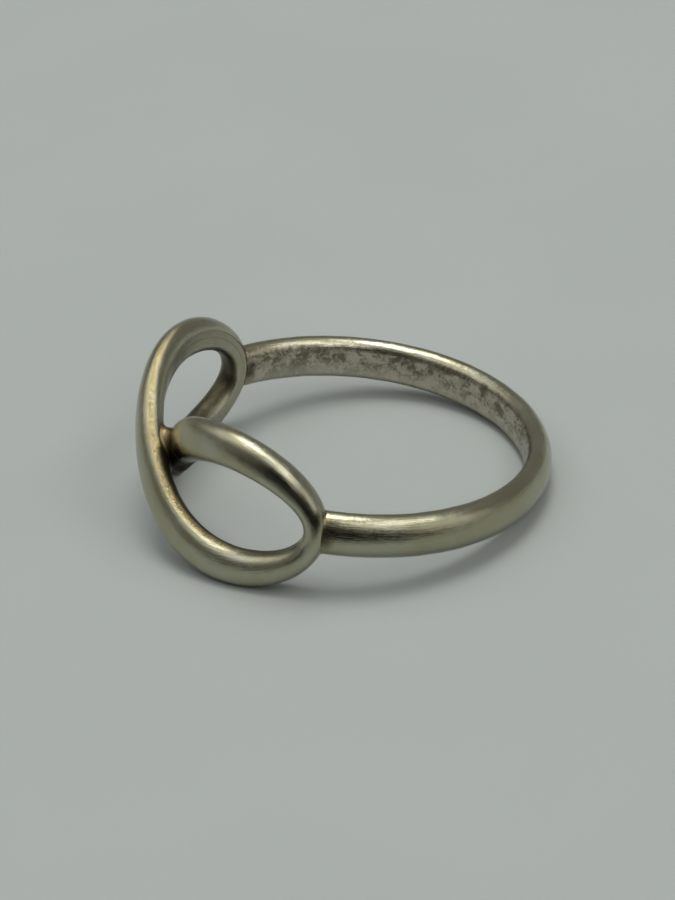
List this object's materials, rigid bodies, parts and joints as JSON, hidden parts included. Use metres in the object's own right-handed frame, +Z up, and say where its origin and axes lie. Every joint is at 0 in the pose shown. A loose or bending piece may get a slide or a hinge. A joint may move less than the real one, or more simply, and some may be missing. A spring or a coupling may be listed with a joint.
{
  "type": "finger ring with infinity front",
  "caption": "Slim D-section finger ring whose front is a figure-of-eight wire crossing over itself, soldered to the band at both shoulders.",
  "frame": {"origin": "middle of the ring's box on the plane it rests on, lying on its side", "axes": "+Z up from the rest plane; the infinity front faces -Y and the middle of the band is at +Y; the finger's axis leans 9.7 degrees from +Z towards +Y"},
  "size_m": [0.0196, 0.021, 0.0081],
  "materials": {
    "band_silver": "worn, polished silver with fine scratches outside and brown-grey tarnish inside",
    "wire_silver": "worn, polished silver, yellow tarnish towards the crossing",
    "solder": "dull silver solder, yellowed"
  },
  "bodies": {
    "root": {"shank": "band_silver", "infinity_wire": "wire_silver", "crossing_solder": "solder", "left_shoulder_solder": "solder", "right_shoulder_solder": "solder"}
  },
  "joints": []
}
